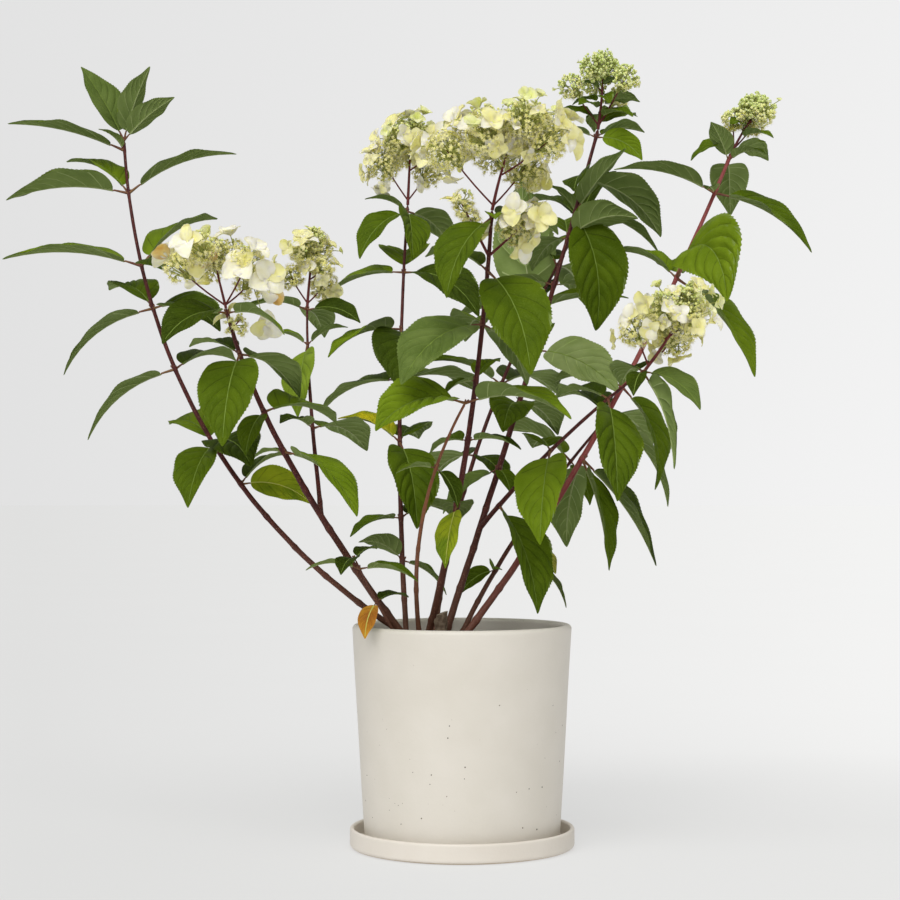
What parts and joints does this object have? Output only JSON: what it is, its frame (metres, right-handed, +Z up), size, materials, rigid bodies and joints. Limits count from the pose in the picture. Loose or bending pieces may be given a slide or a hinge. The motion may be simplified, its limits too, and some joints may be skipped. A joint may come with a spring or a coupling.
{
  "type": "potted panicle hydrangea",
  "caption": "Panicle hydrangea with slender leaning stems, toothed green leaves and cream flower heads, in a round cream stoneware pot on its saucer.",
  "frame": {"origin": "middle of the saucer's flat underside, at table height", "axes": "+Z up along the pot's axis, +X to the right and +Y away as the plant is seen from its front, which faces -Y"},
  "size_m": [0.977, 0.5954, 0.9795],
  "materials": {
    "pot_glaze": "matte cream glaze with small dark specks",
    "saucer_glaze": "matte cream glaze with small dark specks",
    "soil": "moist dark potting soil",
    "bark": "maroon-brown bark with lighter pores",
    "foliage": "satin green leaf, paler below",
    "blossom": "matte cream petal",
    "green_buds": "matte green bud"
  },
  "bodies": {
    "root": {"saucer": "saucer_glaze", "pot": "pot_glaze", "soil": "soil", "stem_stub": "bark", "stem_far_left": "bark", "stem_left_flower": "bark", "stem_left_back": "bark", "stem_centre_left": "bark", "stem_brown": "bark", "stem_centre": "bark", "stem_tall": "bark", "stem_right_flower": "bark", "stem_far_right": "bark", "stem_low_right": "bark", "stem_back_right": "bark", "stem_low_left": "bark", "leaves_far_left": "foliage", "leaves_left_flower": "foliage", "leaves_left_back": "foliage", "leaves_centre_left": "foliage", "leaves_brown": "foliage", "leaves_centre": "foliage", "leaves_tall": "foliage", "leaves_right_flower": "foliage", "leaves_far_right": "foliage", "leaves_low_right": "foliage", "leaves_back_right": "foliage", "leaves_low_left": "foliage", "flowers_left_flower": "blossom", "flowers_left_back": "blossom", "flowers_centre_left": "blossom", "flowers_centre": "blossom", "flowers_right_flower": "blossom", "flowers_tall": "green_buds", "flowers_far_right": "green_buds"}
  },
  "joints": []
}
